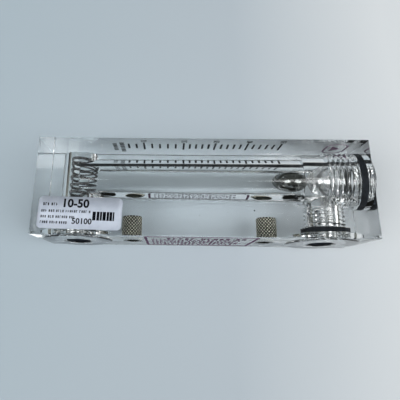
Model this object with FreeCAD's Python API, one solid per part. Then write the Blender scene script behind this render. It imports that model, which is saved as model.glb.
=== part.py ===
"""Variable-area flow meter in a clear acrylic block, lying on its side.

Millimetres. The origin is the middle of the side face that the block rests on, +Z is up,
+X points from the inlet end to the outlet end, +Y points to the front face with the scale,
and the ports open in the back face, towards -Y. The flow bore runs along X.
"""
import FreeCAD, Part
import math
import os
from FreeCAD import Placement, Rotation, Vector

# block
BLOCK_LENGTH = 115.9
BLOCK_DEPTH = 34.9
BLOCK_HEIGHT = 25.4
EDGE_CHAMFER = 0.3

# flow bore and outlet chamber
BORE_FROM_FRONT = 13.0
BORE_INLET_DIA = 15.05
BORE_OUTLET_DIA = 16.2
BORE_START_PAST_PORT = 0.8
CHAMBER_DIA = 18.2
CHAMBER_LENGTH = 8.4

# ports in the back face
INLET_PORT_FROM_END = 13.6
OUTLET_PORT_FROM_END = 14.6
INLET_WELL_DIA = 12.4
INLET_WELL_TO_FRONT = 3.9
OUTLET_BORE_TO_AXIS = 4.4

# port adapters
ADAPTER_FLANGE_DIA = 24.6
ADAPTER_FLANGE_THICKNESS = 2.4
ADAPTER_FLANGE_PROUD = 0.4
ADAPTER_BOSS_LENGTH = 0.7
ADAPTER_THREAD_DIA = 14.0
ADAPTER_THREAD_PITCH = 1.41
ADAPTER_BORE_DIA = 7.6
ADAPTER_PORT_DIA = 9.4
ADAPTER_PORT_FLOOR = 2.64
ADAPTER_PORT_CHAMFER = 0.45

# end plug
PLUG_HEAD_DIA = 24.0
PLUG_HEAD_THICKNESS = 1.4
PLUG_BOSS_LENGTH = 0.9
PLUG_END_DEPTH = 14.0
PLUG_THREAD_DIA = 20.6
PLUG_THREAD_PITCH = 1.81
PLUG_NOSE_DIA = 1.2
PLUG_NOSE_LENGTH = 3.6
PLUG_SLOT_WIDTH = 3.4
PLUG_SLOT_DEPTH = 1.2
PLUG_SLOT_TURN = 7.0
HEAD_CHAMFER = 0.35

# threads and seals
THREAD_DEPTH_SHARE = 0.5
ADAPTER_O_RING_SECTION = 1.78
PLUG_O_RING_SECTION = 2.62
O_RING_GAP = 0.03
POCKET_WALL_GAP = 0.08
ADAPTER_O_RING_OUTER_DIA = 16.4
PLUG_O_RING_OUTER_DIA = 20.8
THREAD_GAP = 0.05
SEAT_GAP = 0.1
ADAPTER_TO_PLUG_GAP = 0.36
THREAD_END_GAP = 0.6

# ball float
BALL_DIA = 12.7
BALL_GAP = 0.3

# inlet spring
SPRING_OUTER_DIA = 11.2
SPRING_WIRE_DIA = 1.2
SPRING_TURNS = 6.5
SPRING_END_GAP = 0.2

# threaded inserts in the back face
INSERT_FROM_INLET_PORT = 19.8
INSERT_FROM_OUTLET_PORT = 20.4
INSERT_DIA = 7.1
INSERT_LENGTH = 8.1
INSERT_HOLE_DIA = 4.1
INSERT_HOLE_DEPTH = 7.0
INSERT_CHAMFER = 0.4
INSERT_GAP = 0.02

# side label
LABEL_LENGTH = 28.3
LABEL_WIDTH = 11.0
LABEL_THICKNESS = 0.12
LABEL_CORNER = 1.5
LABEL_FROM_INLET = 16.7
LABEL_FROM_BACK = 7.25
LABEL_TURN = -1.2

# printed marks
INK_THICKNESS = 0.08
MAJOR_TICKS_TO_SHOULDER = (56.6, 41.9, 30.3, 18.5, 6.3)
TICKS_PER_MAJOR = 5
TICKS_BEFORE_FIRST = 2
FIRST_TICK_STEP = 2.85
TICK_WIDTH = 0.7
MAJOR_TICK_HEIGHT = 8.9
MINOR_TICK_HEIGHT = 6.0
TICK_CENTRE_HEIGHT = 13.9
LEGEND_TO_LOWER_INSERT = 4.7
LEGEND_TO_UPPER_INSERT = 3.9
LEGEND_HEIGHT = 21.0
LEGEND_LINE = 0.9
LEGEND_ROWS = 6
LEGEND_ROW_LINE = 0.8
LEGEND_MARGIN = 2.2
MARK_FROM_OUTLET = 7.9
MARK_CENTRE_HEIGHT = 11.6
MARK_LENGTH = 13.0
MARK_WIDTH = 8.0
MARK_LINE = 0.6
ARROW_LENGTH = 7.0
ARROW_WIDTH = 3.6

# places worked out from the sizes above
INLET_X = -BLOCK_LENGTH / 2
OUTLET_X = BLOCK_LENGTH / 2
BACK_Y = -BLOCK_DEPTH / 2
FRONT_Y = BLOCK_DEPTH / 2
AXIS_Y = FRONT_Y - BORE_FROM_FRONT
AXIS_Z = BLOCK_HEIGHT / 2
INLET_PORT_X = INLET_X + INLET_PORT_FROM_END
OUTLET_PORT_X = OUTLET_X - OUTLET_PORT_FROM_END
CHAMBER_END_X = OUTLET_X - PLUG_END_DEPTH
SHOULDER_X = CHAMBER_END_X - CHAMBER_LENGTH
LOWER_INSERT_X = INLET_PORT_X + INSERT_FROM_INLET_PORT
UPPER_INSERT_X = OUTLET_PORT_X - INSERT_FROM_OUTLET_PORT
BORE_START_X = INLET_PORT_X + BORE_START_PAST_PORT
ADAPTER_SEAT_DEPTH = ADAPTER_FLANGE_THICKNESS - ADAPTER_FLANGE_PROUD
ADAPTER_SEAL_DEPTH = ADAPTER_SEAT_DEPTH + ADAPTER_BOSS_LENGTH + ADAPTER_O_RING_SECTION + 2 * O_RING_GAP
ADAPTER_END_DEPTH = AXIS_Y - BACK_Y - PLUG_THREAD_DIA / 2 - ADAPTER_TO_PLUG_GAP
INLET_WELL_DEPTH = BLOCK_DEPTH - INLET_WELL_TO_FRONT
OUTLET_BORE_DEPTH = AXIS_Y - BACK_Y - OUTLET_BORE_TO_AXIS
PLUG_SEAL_DEPTH = PLUG_BOSS_LENGTH + PLUG_O_RING_SECTION + 2 * O_RING_GAP
PLUG_NOSE_X = CHAMBER_END_X - PLUG_NOSE_LENGTH
BORE_TAPER = (BORE_OUTLET_DIA - BORE_INLET_DIA) / 2 / (SHOULDER_X - BORE_START_X)
BALL_X = PLUG_NOSE_X - BALL_GAP - BALL_DIA / 2


def bore_radius(x):
    """Radius of the tapered flow bore at the place x along the block."""
    return BORE_OUTLET_DIA / 2 - (SHOULDER_X - x) * BORE_TAPER


def cylinder(radius, x, y, z, length, direction):
    return Part.makeCylinder(radius, length, Vector(x, y, z), direction)


def to_back(shape, x):
    """Turn a piece made along +Z so that +Z points out of the back face, and set it at x."""
    shape.Placement = Placement(Vector(x, BACK_Y, AXIS_Z), Rotation(Vector(1, 0, 0), 90))
    return shape


def to_outlet_end(shape):
    """Turn a piece made along +Z so that +Z points out of the outlet end."""
    shape.Placement = Placement(Vector(OUTLET_X, AXIS_Y, AXIS_Z), Rotation(Vector(0, 1, 0), 90))
    return shape


def turned(profile):
    """Solid of revolution about Z from (radius, height) points."""
    points = [Vector(radius, 0, height) for radius, height in profile]
    points.append(points[0])
    return Part.Face(Part.makePolygon(points)).revolve(Vector(), Vector(0, 0, 1), 360)


def thread_profile(crest_radius, pitch, top, bottom):
    """Points down a V thread from top to bottom, with whole ridges between two plain ends."""
    root_radius = crest_radius - pitch * THREAD_DEPTH_SHARE
    ridges = max(1, int((top - bottom) / pitch))
    margin = (top - bottom - ridges * pitch) / 2
    points = [(root_radius, top), (root_radius, top - margin)] if margin > 0 else [(root_radius, top)]
    for ridge in range(ridges):
        ridge_top = top - margin - ridge * pitch
        points.append((crest_radius, ridge_top - pitch / 2))
        points.append((root_radius, ridge_top - pitch))
    if margin > 0:
        points.append((root_radius, bottom))
    return points


def rounded_plate(length, width, thickness, corner):
    """Flat plate with round corners, centred on Z, standing on z = 0."""
    plate = Part.makeBox(length, width, thickness, Vector(-length / 2, -width / 2, 0))
    upright = [edge for edge in plate.Edges if abs(edge.Vertexes[0].Z - edge.Vertexes[1].Z) > thickness / 2]
    return plate.makeFillet(corner, upright)


def body_block():
    block = Part.makeBox(BLOCK_LENGTH, BLOCK_DEPTH, BLOCK_HEIGHT, Vector(INLET_X, BACK_Y, 0))
    block = block.makeChamfer(EDGE_CHAMFER, block.Edges)
    along = Vector(1, 0, 0)
    inward = Vector(0, 1, 0)
    start = Vector(BORE_START_X, AXIS_Y, AXIS_Z)
    bore_length = SHOULDER_X - BORE_START_X
    seal_x = OUTLET_X - PLUG_SEAL_DEPTH
    thread_radius = PLUG_THREAD_DIA / 2 + THREAD_GAP
    pocket_radius = PLUG_O_RING_OUTER_DIA / 2 + POCKET_WALL_GAP
    cuts = [
        Part.makeCone(BORE_INLET_DIA / 2, BORE_OUTLET_DIA / 2, bore_length, start, along),
        cylinder(CHAMBER_DIA / 2, SHOULDER_X, AXIS_Y, AXIS_Z, CHAMBER_LENGTH, along),
        cylinder(thread_radius, CHAMBER_END_X, AXIS_Y, AXIS_Z, seal_x - CHAMBER_END_X, along),
        cylinder(pocket_radius, seal_x, AXIS_Y, AXIS_Z, PLUG_SEAL_DEPTH, along),
        cylinder(INLET_WELL_DIA / 2, INLET_PORT_X, BACK_Y, AXIS_Z, INLET_WELL_DEPTH, inward),
    ]
    thread_depths = {INLET_PORT_X: ADAPTER_END_DEPTH + THREAD_END_GAP, OUTLET_PORT_X: OUTLET_BORE_DEPTH}
    for port_x, thread_depth in thread_depths.items():
        flange_radius = ADAPTER_FLANGE_DIA / 2 + SEAT_GAP
        seal_radius = ADAPTER_O_RING_OUTER_DIA / 2 + POCKET_WALL_GAP
        bore_wall = ADAPTER_THREAD_DIA / 2 + THREAD_GAP
        cuts.append(cylinder(flange_radius, port_x, BACK_Y, AXIS_Z, ADAPTER_SEAT_DEPTH, inward))
        cuts.append(cylinder(seal_radius, port_x, BACK_Y, AXIS_Z, ADAPTER_SEAL_DEPTH, inward))
        cuts.append(cylinder(bore_wall, port_x, BACK_Y, AXIS_Z, thread_depth, inward))
    for insert_x in (LOWER_INSERT_X, UPPER_INSERT_X):
        insert_wall = INSERT_DIA / 2 + INSERT_GAP
        cuts.append(cylinder(insert_wall, insert_x, BACK_Y, AXIS_Z, INSERT_LENGTH + INSERT_GAP, inward))
    return block.cut(cuts)


def adapter(port_x):
    """Flanged, threaded bush with a straight pipe-thread hole that narrows to a flow hole."""
    flange = ADAPTER_FLANGE_DIA / 2
    boss = ADAPTER_O_RING_OUTER_DIA / 2
    neck = boss - ADAPTER_O_RING_SECTION - POCKET_WALL_GAP
    top = ADAPTER_FLANGE_PROUD
    port = ADAPTER_PORT_DIA / 2
    profile = [
        (port + ADAPTER_PORT_CHAMFER, top),
        (flange - HEAD_CHAMFER, top),
        (flange, top - HEAD_CHAMFER),
        (flange, -ADAPTER_SEAT_DEPTH),
        (boss, -ADAPTER_SEAT_DEPTH),
        (boss, -ADAPTER_SEAT_DEPTH - ADAPTER_BOSS_LENGTH),
        (neck, -ADAPTER_SEAT_DEPTH - ADAPTER_BOSS_LENGTH),
        (neck, -ADAPTER_SEAL_DEPTH),
    ]
    profile += thread_profile(ADAPTER_THREAD_DIA / 2, ADAPTER_THREAD_PITCH, -ADAPTER_SEAL_DEPTH, -ADAPTER_END_DEPTH)
    profile += [
        (ADAPTER_BORE_DIA / 2, -ADAPTER_END_DEPTH),
        (ADAPTER_BORE_DIA / 2, ADAPTER_PORT_FLOOR - ADAPTER_END_DEPTH),
        (port, ADAPTER_PORT_FLOOR - ADAPTER_END_DEPTH),
        (port, top - ADAPTER_PORT_CHAMFER),
    ]
    return to_back(turned(profile), port_x)


def adapter_o_ring(port_x):
    centre_radius = (ADAPTER_O_RING_OUTER_DIA - ADAPTER_O_RING_SECTION) / 2
    centre_z = O_RING_GAP + ADAPTER_O_RING_SECTION / 2 - ADAPTER_SEAL_DEPTH
    ring = Part.makeTorus(centre_radius, ADAPTER_O_RING_SECTION / 2, Vector(0, 0, centre_z))
    return to_back(ring, port_x)


def end_plug():
    """Slotted, threaded plug with a nose that stops the ball."""
    head = PLUG_HEAD_DIA / 2
    boss = PLUG_O_RING_OUTER_DIA / 2
    neck = boss - PLUG_O_RING_SECTION - POCKET_WALL_GAP
    nose_end = -PLUG_END_DEPTH - PLUG_NOSE_LENGTH
    profile = [
        (0, PLUG_HEAD_THICKNESS),
        (head - HEAD_CHAMFER, PLUG_HEAD_THICKNESS),
        (head, PLUG_HEAD_THICKNESS - HEAD_CHAMFER),
        (head, 0),
        (boss, 0),
        (boss, -PLUG_BOSS_LENGTH),
        (neck, -PLUG_BOSS_LENGTH),
        (neck, -PLUG_SEAL_DEPTH),
    ]
    profile += thread_profile(PLUG_THREAD_DIA / 2, PLUG_THREAD_PITCH, -PLUG_SEAL_DEPTH, -PLUG_END_DEPTH)
    profile += [
        (PLUG_NOSE_DIA / 2, -PLUG_END_DEPTH),
        (PLUG_NOSE_DIA / 2, nose_end),
        (0, nose_end),
    ]
    corner = Vector(-PLUG_HEAD_DIA, -PLUG_SLOT_WIDTH / 2, PLUG_HEAD_THICKNESS - PLUG_SLOT_DEPTH)
    slot = Part.makeBox(2 * PLUG_HEAD_DIA, PLUG_SLOT_WIDTH, 2 * PLUG_SLOT_DEPTH, corner)
    slot.rotate(Vector(), Vector(0, 0, 1), PLUG_SLOT_TURN)
    return to_outlet_end(turned(profile).cut(slot))


def end_plug_o_ring():
    centre_radius = (PLUG_O_RING_OUTER_DIA - PLUG_O_RING_SECTION) / 2
    centre_z = O_RING_GAP + PLUG_O_RING_SECTION / 2 - PLUG_SEAL_DEPTH
    return to_outlet_end(Part.makeTorus(centre_radius, PLUG_O_RING_SECTION / 2, Vector(0, 0, centre_z)))


def ball_float():
    """Ball on the floor of the bore, against the plug's nose, BALL_GAP clear of both."""
    slope = math.atan(BORE_TAPER)
    wall_drop = bore_radius(BALL_X) - (BALL_DIA / 2 + BALL_GAP) / math.cos(slope)
    return Part.makeSphere(BALL_DIA / 2, Vector(BALL_X, AXIS_Y, AXIS_Z - wall_drop))


def inlet_spring():
    """Open coil along Y between the inlet adapter and the end of the inlet well."""
    free_space = INLET_WELL_DEPTH - ADAPTER_END_DEPTH
    height = free_space - 2 * SPRING_END_GAP - SPRING_WIRE_DIA
    coil_radius = (SPRING_OUTER_DIA - SPRING_WIRE_DIA) / 2
    path = Part.makeHelix(height / SPRING_TURNS, height, coil_radius)
    section = Part.makeCircle(SPRING_WIRE_DIA / 2, Vector(coil_radius, 0, 0), Vector(0, 1, 0))
    coil = Part.Wire(path.Edges).makePipeShell([Part.Wire([section])], True, True)
    coil_start = -ADAPTER_END_DEPTH - SPRING_END_GAP - SPRING_WIRE_DIA / 2 - height
    coil.translate(Vector(0, 0, coil_start))
    turn = Placement(Vector(INLET_PORT_X, BACK_Y, AXIS_Z), Rotation(Vector(1, 0, 0), 90))
    return coil.transformGeometry(turn.toMatrix())


def threaded_insert(insert_x):
    outer = INSERT_DIA / 2
    hole = INSERT_HOLE_DIA / 2
    profile = [
        (hole, 0),
        (outer - INSERT_CHAMFER, 0),
        (outer, -INSERT_CHAMFER),
        (outer, INSERT_CHAMFER - INSERT_LENGTH),
        (outer - INSERT_CHAMFER, -INSERT_LENGTH),
        (0, -INSERT_LENGTH),
        (0, -INSERT_HOLE_DEPTH),
        (hole, -INSERT_HOLE_DEPTH),
    ]
    return to_back(turned(profile), insert_x)


def side_label():
    label = rounded_plate(LABEL_LENGTH, LABEL_WIDTH, LABEL_THICKNESS, LABEL_CORNER)
    centre = Vector(INLET_X + LABEL_FROM_INLET, BACK_Y + LABEL_FROM_BACK, BLOCK_HEIGHT)
    label.Placement = Placement(centre, Rotation(Vector(0, 0, 1), LABEL_TURN))
    return label


def front_bar(x, height):
    """Thin upright bar of ink on the front face, with its middle at x and at the ticks' height."""
    corner = Vector(x - TICK_WIDTH / 2, FRONT_Y, TICK_CENTRE_HEIGHT - height / 2)
    return Part.makeBox(TICK_WIDTH, INK_THICKNESS, height, corner)


def tick_places():
    """Places of all ticks along the block, with True for a major one."""
    majors = [SHOULDER_X - distance for distance in MAJOR_TICKS_TO_SHOULDER]
    ticks = [(majors[0] - step * FIRST_TICK_STEP, False) for step in range(TICKS_BEFORE_FIRST, 0, -1)]
    for low, high in zip(majors, majors[1:]):
        for step in range(TICKS_PER_MAJOR):
            ticks.append((low + (high - low) * step / TICKS_PER_MAJOR, step == 0))
    ticks.append((majors[-1], True))
    return ticks


def scale_marks():
    heights = {True: MAJOR_TICK_HEIGHT, False: MINOR_TICK_HEIGHT}
    return Part.makeCompound([front_bar(x, heights[major]) for x, major in tick_places()])


def back_legend():
    """Ink frame on the back face, with plain bars where its lines of small print stand."""
    left = LOWER_INSERT_X + LEGEND_TO_LOWER_INSERT
    length = UPPER_INSERT_X - LEGEND_TO_UPPER_INSERT - left
    low = AXIS_Z - LEGEND_HEIGHT / 2
    inner_length = length - 2 * LEGEND_LINE
    inner_height = LEGEND_HEIGHT - 2 * LEGEND_LINE
    ink_y = BACK_Y - INK_THICKNESS
    outer = Part.makeBox(length, INK_THICKNESS, LEGEND_HEIGHT, Vector(left, ink_y, low))
    inner_corner = Vector(left + LEGEND_LINE, ink_y, low + LEGEND_LINE)
    inner = Part.makeBox(inner_length, INK_THICKNESS, inner_height, inner_corner)
    rows = [outer.cut(inner)]
    step = (LEGEND_HEIGHT - 2 * LEGEND_MARGIN) / LEGEND_ROWS
    row_length = length - 2 * LEGEND_MARGIN
    for row in range(LEGEND_ROWS):
        bottom = low + LEGEND_MARGIN + (row + 0.5) * step - LEGEND_ROW_LINE / 2
        corner = Vector(left + LEGEND_MARGIN, ink_y, bottom)
        rows.append(Part.makeBox(row_length, INK_THICKNESS, LEGEND_ROW_LINE, corner))
    return Part.makeCompound(rows)


def flow_mark():
    """Round-ended outline on the front face, long side up, round an arrow that points to the outlet."""
    outer = rounded_plate(MARK_WIDTH, MARK_LENGTH, INK_THICKNESS, MARK_WIDTH / 2 - MARK_LINE / 2)
    inner_width = MARK_WIDTH - 2 * MARK_LINE
    inner_length = MARK_LENGTH - 2 * MARK_LINE
    inner = rounded_plate(inner_width, inner_length, INK_THICKNESS, inner_width / 2 - MARK_LINE / 2)
    tip = Vector(ARROW_WIDTH / 2, 0, 0)
    wings = [Vector(-ARROW_WIDTH / 2, side * ARROW_LENGTH / 2, 0) for side in (1, -1)]
    arrow = Part.Face(Part.makePolygon([tip, wings[0], wings[1], tip])).extrude(Vector(0, 0, INK_THICKNESS))
    mark = Part.makeCompound([outer.cut(inner), arrow])
    centre = Vector(OUTLET_X - MARK_FROM_OUTLET, FRONT_Y + INK_THICKNESS, MARK_CENTRE_HEIGHT)
    mark.Placement = Placement(centre, Rotation(Vector(1, 0, 0), 90))
    return mark


def write(name, shape):
    shape.exportStep("parts/" + name + ".step")
    print(name, "solids", len(shape.Solids), "volume", round(shape.Volume, 2), "valid", shape.isValid())


def main():
    os.makedirs("parts", exist_ok=True)
    write("body_block", body_block())
    write("inlet_adapter", adapter(INLET_PORT_X))
    write("outlet_adapter", adapter(OUTLET_PORT_X))
    write("inlet_adapter_o_ring", adapter_o_ring(INLET_PORT_X))
    write("outlet_adapter_o_ring", adapter_o_ring(OUTLET_PORT_X))
    write("end_plug", end_plug())
    write("end_plug_o_ring", end_plug_o_ring())
    write("ball_float", ball_float())
    write("inlet_spring", inlet_spring())
    write("lower_threaded_insert", threaded_insert(LOWER_INSERT_X))
    write("upper_threaded_insert", threaded_insert(UPPER_INSERT_X))
    write("side_label", side_label())
    write("scale_marks", scale_marks())
    write("back_legend", back_legend())
    write("flow_mark", flow_mark())
    ball_reach = BALL_X - BALL_DIA / 2 - BALL_GAP - INLET_PORT_X - SPRING_OUTER_DIA / 2
    print("ball centre", round(BALL_X, 3), "travel", round(ball_reach, 3))
    print("bore slope", round(math.degrees(math.atan(BORE_TAPER)), 3), "degrees")


main()
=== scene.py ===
"""Looks of a clear acrylic flow meter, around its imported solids. Metres, in the solids' own frame."""
import math

import bmesh
import bpy
import numpy as np
from mathutils import Matrix, Vector


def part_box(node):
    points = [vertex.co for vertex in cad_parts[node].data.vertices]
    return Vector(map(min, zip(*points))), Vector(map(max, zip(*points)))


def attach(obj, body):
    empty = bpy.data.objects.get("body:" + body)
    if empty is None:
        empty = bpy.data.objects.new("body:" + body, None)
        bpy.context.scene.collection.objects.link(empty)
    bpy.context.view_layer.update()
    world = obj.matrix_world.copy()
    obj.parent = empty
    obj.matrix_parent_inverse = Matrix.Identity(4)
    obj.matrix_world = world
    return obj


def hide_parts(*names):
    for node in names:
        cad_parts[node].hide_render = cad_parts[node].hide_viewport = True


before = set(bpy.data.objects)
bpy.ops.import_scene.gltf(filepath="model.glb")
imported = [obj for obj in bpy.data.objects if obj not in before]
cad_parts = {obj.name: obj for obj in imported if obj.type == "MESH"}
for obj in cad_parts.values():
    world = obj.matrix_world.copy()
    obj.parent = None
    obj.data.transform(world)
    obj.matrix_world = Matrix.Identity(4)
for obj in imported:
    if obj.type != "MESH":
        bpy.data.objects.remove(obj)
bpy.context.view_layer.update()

MM = 0.001
ROUND = 2 * math.pi

# boxes of the pieces, from the frame
BLOCK_LOW, BLOCK_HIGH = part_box("body_block")
BACK_Y = BLOCK_LOW.y
FRONT_Y = BLOCK_HIGH.y
INLET_X = BLOCK_LOW.x
OUTLET_X = BLOCK_HIGH.x
ADAPTER_LOW, ADAPTER_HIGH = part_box("inlet_adapter")
ADAPTER_RING_LOW, ADAPTER_RING_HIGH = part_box("inlet_adapter_o_ring")
PLUG_LOW, PLUG_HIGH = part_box("end_plug")
PLUG_RING_LOW, PLUG_RING_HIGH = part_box("end_plug_o_ring")
BALL_LOW, BALL_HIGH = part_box("ball_float")
SPRING_LOW, SPRING_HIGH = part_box("inlet_spring")
AXIS_Y = (PLUG_LOW.y + PLUG_HIGH.y) / 2
AXIS_Z = (PLUG_LOW.z + PLUG_HIGH.z) / 2
PORT_X = {port: sum(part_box(port + "_adapter"), Vector()).x / 2 for port in ("inlet", "outlet")}

# sizes inside the block
EDGE_CHAMFER = 0.3 * MM
SEAT_GAP = 0.1 * MM
THREAD_GAP = 0.05 * MM
POCKET_GAP = 0.08 * MM
BORE_INLET_RADIUS = 7.525 * MM
BORE_OUTLET_RADIUS = 8.1 * MM
BORE_START_PAST_PORT = 0.8 * MM
CHAMBER_RADIUS = 9.1 * MM
CHAMBER_LENGTH = 8.4 * MM
WELL_RADIUS = 6.2 * MM
WELL_TO_FRONT = 3.9 * MM
OUTLET_BORE_TO_AXIS = 4.4 * MM
OUTLET_BORE_RADIUS = 6.2 * MM
THREAD_END_GAP = 0.6 * MM

# threads: rows of points along one turn, and the thread's depth as a share of its pitch
THREAD_ROWS = 14
PORT_THREAD_ROWS = 10
THREAD_DEPTH_SHARE = 0.5

# a piece that touches the acrylic or another piece reaches this far into it
PRESSED_IN = 0.02 * MM

# adapters
FLANGE_RADIUS = (ADAPTER_HIGH.x - ADAPTER_LOW.x) / 2
FLANGE_PROUD = BACK_Y - ADAPTER_LOW.y
FLANGE_SEAT = 2.0 * MM
ADAPTER_SEAL_DEPTH = 4.54 * MM
ADAPTER_BOSS_DEPTH = 2.7 * MM
ADAPTER_END_DEPTH = ADAPTER_HIGH.y - BACK_Y
ADAPTER_RING_RADIUS = 8.2 * MM
ADAPTER_RING_SECTION = ADAPTER_RING_HIGH.y - ADAPTER_RING_LOW.y
ADAPTER_THREAD_RADIUS = 7.0 * MM
ADAPTER_THREAD_PITCH = 1.41 * MM
ADAPTER_BORE_RADIUS = 3.8 * MM
ADAPTER_PORT_RADIUS = 4.7 * MM
ADAPTER_PORT_FLOOR = 2.64 * MM
PORT_THREAD_PITCH = 0.94 * MM
PORT_THREAD_RUN_OUT = 0.3 * MM
PORT_CHAMFER = 0.45 * MM
ADAPTER_RUN_OUT = 0.5 * MM
FLANGE_EDGE = 0.12 * MM

# painted shade: a dark sleeve in the first threads of the ports, where the holes only lie in shade
SHADE_SLEEVE_GAP = 0.02 * MM
SHADE_SLEEVE_THICKNESS = 0.08 * MM
SHADE_SLEEVE_LENGTH = 1.9 * MM

# end plug
PLUG_HEAD_RADIUS = (PLUG_HIGH.y - PLUG_LOW.y) / 2
PLUG_HEAD_PROUD = PLUG_HIGH.x - OUTLET_X
PLUG_BOSS_DEPTH = 0.9 * MM
PLUG_SEAL_DEPTH = 3.58 * MM
PLUG_END_DEPTH = 14.0 * MM
PLUG_RING_RADIUS = 10.4 * MM
PLUG_THREAD_RADIUS = 10.3 * MM
PLUG_THREAD_PITCH = 1.81 * MM
PLUG_RUN_OUT = 0.6 * MM
PLUG_PIN_RADIUS = 0.6 * MM
PLUG_END_GAP = 0.05 * MM
PLUG_SLOT_WIDTH = 3.4 * MM
PLUG_SLOT_DEPTH = 1.2 * MM
PLUG_SLOT_CORNER = 0.05 * MM
PLUG_SLOT_TURN = math.radians(7)
HEAD_CHAMFER = 0.35 * MM
PLUG_RING_SECTION = PLUG_RING_HIGH.x - PLUG_RING_LOW.x

# places along the bore
CHAMBER_END_X = OUTLET_X - PLUG_END_DEPTH
SHOULDER_X = CHAMBER_END_X - CHAMBER_LENGTH
BORE_START_X = PORT_X["inlet"] + BORE_START_PAST_PORT

# inserts
INSERT_RADIUS = 3.55 * MM
INSERT_LENGTH = 8.1 * MM
INSERT_CHAMFER = 0.4 * MM
INSERT_HOLE_RADIUS = 2.05 * MM
INSERT_HOLE_DEPTH = 7.0 * MM
INSERT_HOLE_LIP = 0.25 * MM
INSERT_THREAD_PITCH = 0.79 * MM
INSERT_THREAD_RUN_OUT = 0.2 * MM
KNURL_DEPTH = 0.28 * MM
KNURL_PITCH = 1.2 * MM
KNURL_STARTS = 19
# crest value of the plain faces, which sets how much painted shade they take in the brass finish
PLAIN_CREST = 0.45

# spring
SPRING_WIRE_RADIUS = 0.5 * MM
SPRING_COIL_RADIUS = (SPRING_HIGH.x - SPRING_LOW.x) / 2 - SPRING_WIRE_RADIUS
SPRING_TURNS = 8.0

# print
INK_THICKNESS = 0.02 * MM
LEGEND_THICKNESS = 0.06 * MM
LEGEND_LINE = 0.9 * MM
LEGEND_MARGIN = 2.4 * MM
LEGEND_HEADING_TOP = 7.9 * MM
LEGEND_HEADING_ROW = 3.6 * MM
LEGEND_HEADING_LETTER = 2.6 * MM
LEGEND_ROWS = 5
LEGEND_ROWS_TOP = 4.4 * MM
LEGEND_ROW = 2.6 * MM
LEGEND_LETTER = 1.7 * MM
UNIT_THICKNESS = 0.04 * MM
UNIT_FROM_INLET = 27.2 * MM
UNIT_HEIGHT = 13.0 * MM
MAJOR_TICKS_TO_SHOULDER = (56.6 * MM, 41.9 * MM, 30.3 * MM, 18.5 * MM, 6.3 * MM)
SCALE_NUMBER_HEIGHT = 20.5 * MM
SPECK_THICKNESS = 0.04 * MM
SPECK_SUNK = 0.01 * MM
LABEL_TURN = math.radians(-1.2)

TO_BACK = Matrix.Rotation(math.radians(90), 4, "X")
TO_OUTLET = Matrix.Rotation(math.radians(90), 4, "Y")


# ---------------------------------------------------------------- shapes

def mesh_object(name, points, faces, smooth=True):
    """A mesh object from an array of points and a list or array of faces, at the origin."""
    mesh = bpy.data.meshes.new(name)
    mesh.from_pydata(np.asarray(points, float).reshape(-1, 3).tolist(), [], [list(f) for f in faces])
    mesh.update()
    mesh.polygons.foreach_set("use_smooth", [smooth] * len(mesh.polygons))
    piece = bpy.data.objects.new(name, mesh)
    bpy.context.scene.collection.objects.link(piece)
    return piece


def grid_faces(rows, columns, wrap_rows=False, wrap_columns=True):
    """Quads between neighbours of a grid, whose point (i, j) has the number i * columns + j."""
    i = np.arange(rows if wrap_rows else rows - 1)[:, None]
    j = np.arange(columns if wrap_columns else columns - 1)[None, :]
    i_next = (i + 1) % rows
    j_next = (j + 1) % columns
    corners = [i * columns + j, i * columns + j_next, i_next * columns + j_next, i_next * columns + j]
    return np.stack(corners, -1).reshape(-1, 4)


def revolved(name, profile, sides=192, ridge=None, place=Matrix.Identity(4), closed=True):
    """Solid of revolution about Z: (r cos t, r sin t, z) for each profile point (r, z) and angle t.

    ridge(r, z, t), where given, returns the radius after a thread or knurl has been cut. The profile
    runs so that its solid lies on its left; points on the axis are closed by a fan of triangles.
    """
    profile = np.asarray(profile, float)
    turn = np.linspace(0, ROUND, sides, endpoint=False)[None, :]
    radius = profile[:, :1] + 0 * turn
    height = profile[:, 1:] + 0 * turn
    if ridge is not None:
        radius = ridge(radius, height, turn + 0 * radius)
    points = np.stack([radius * np.cos(turn), radius * np.sin(turn), height], -1)
    faces = [tuple(f) for f in grid_faces(len(profile), sides, wrap_rows=closed)]
    piece = mesh_object(name, points, faces)
    tidy_mesh(piece)
    piece.data.transform(place)
    return piece


def tidy_mesh(piece, distance=1e-7):
    """Merge points that coincide, drop faces with no area and turn all faces outwards."""
    work = bmesh.new()
    work.from_mesh(piece.data)
    bmesh.ops.remove_doubles(work, verts=work.verts, dist=distance)
    bmesh.ops.dissolve_degenerate(work, edges=work.edges, dist=distance)
    bmesh.ops.recalc_face_normals(work, faces=work.faces)
    work.to_mesh(piece.data)
    work.free()


def sharpen(piece, degrees=32):
    """Smooth shading with a crease at every edge that turns by more than this."""
    piece.data.polygons.foreach_set("use_smooth", [True] * len(piece.data.polygons))
    piece.data.set_sharp_from_angle(angle=math.radians(degrees))


def chamfered_box(name, low, high, chamfer):
    """Box with every edge cut at 45 degrees: the hull of the 24 points one chamfer in from its corners."""
    low = np.array(low)
    high = np.array(high)
    points = []
    for corner in np.ndindex(2, 2, 2):
        for axis in range(3):
            inset = np.full(3, chamfer)
            inset[axis] = 0
            points.append(np.where(np.array(corner) == 0, low + inset, high - inset))
    work = bmesh.new()
    for point in points:
        work.verts.new(point)
    bmesh.ops.convex_hull(work, input=work.verts)
    bmesh.ops.dissolve_limit(work, angle_limit=math.radians(1), verts=work.verts, edges=work.edges)
    bmesh.ops.recalc_face_normals(work, faces=work.faces)
    mesh = bpy.data.meshes.new(name)
    work.to_mesh(mesh)
    work.free()
    piece = bpy.data.objects.new(name, mesh)
    bpy.context.scene.collection.objects.link(piece)
    return piece


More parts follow.
